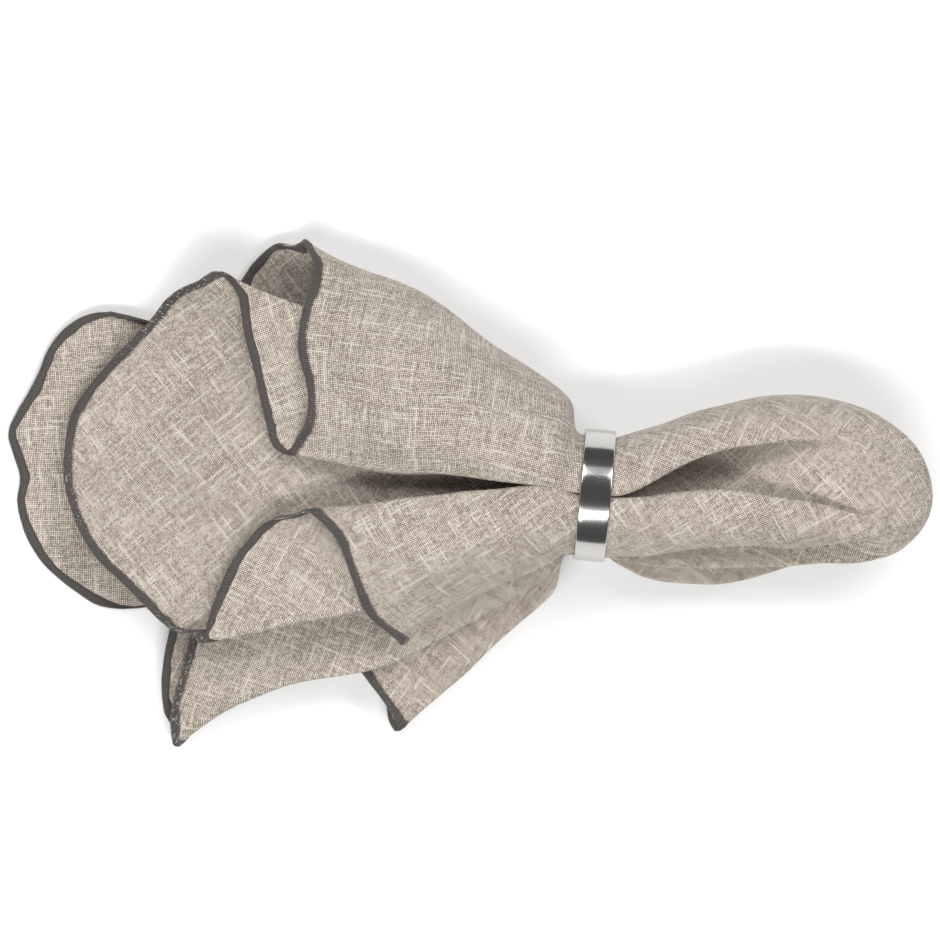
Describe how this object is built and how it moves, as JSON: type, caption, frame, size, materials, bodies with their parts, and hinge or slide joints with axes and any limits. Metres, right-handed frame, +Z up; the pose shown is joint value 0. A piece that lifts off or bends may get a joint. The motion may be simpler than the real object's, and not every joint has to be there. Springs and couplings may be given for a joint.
{
  "type": "linen napkin in a ring",
  "caption": "Square linen napkin with a dark overlocked edge, gathered at its middle and pulled through a plain steel ring, its hem fanned out flat in soft folds.",
  "frame": {"origin": "on the table, under the middle of the whole piece's box", "axes": "+Z up from the table; -X from the ring towards the fanned hem, +X towards the gathered head; the picture looks straight down with +X to its right and +Y to its top"},
  "size_m": [0.3128, 0.1728, 0.0481],
  "materials": {
    "linen": "matt plain-weave linen, greige, with paler slubs in both directions",
    "edge_thread": "matt dark brown-grey overlock thread",
    "ring_steel": "mirror-polished stainless steel"
  },
  "bodies": {
    "root": {"napkin": "linen", "ring": "ring_steel"}
  },
  "joints": []
}
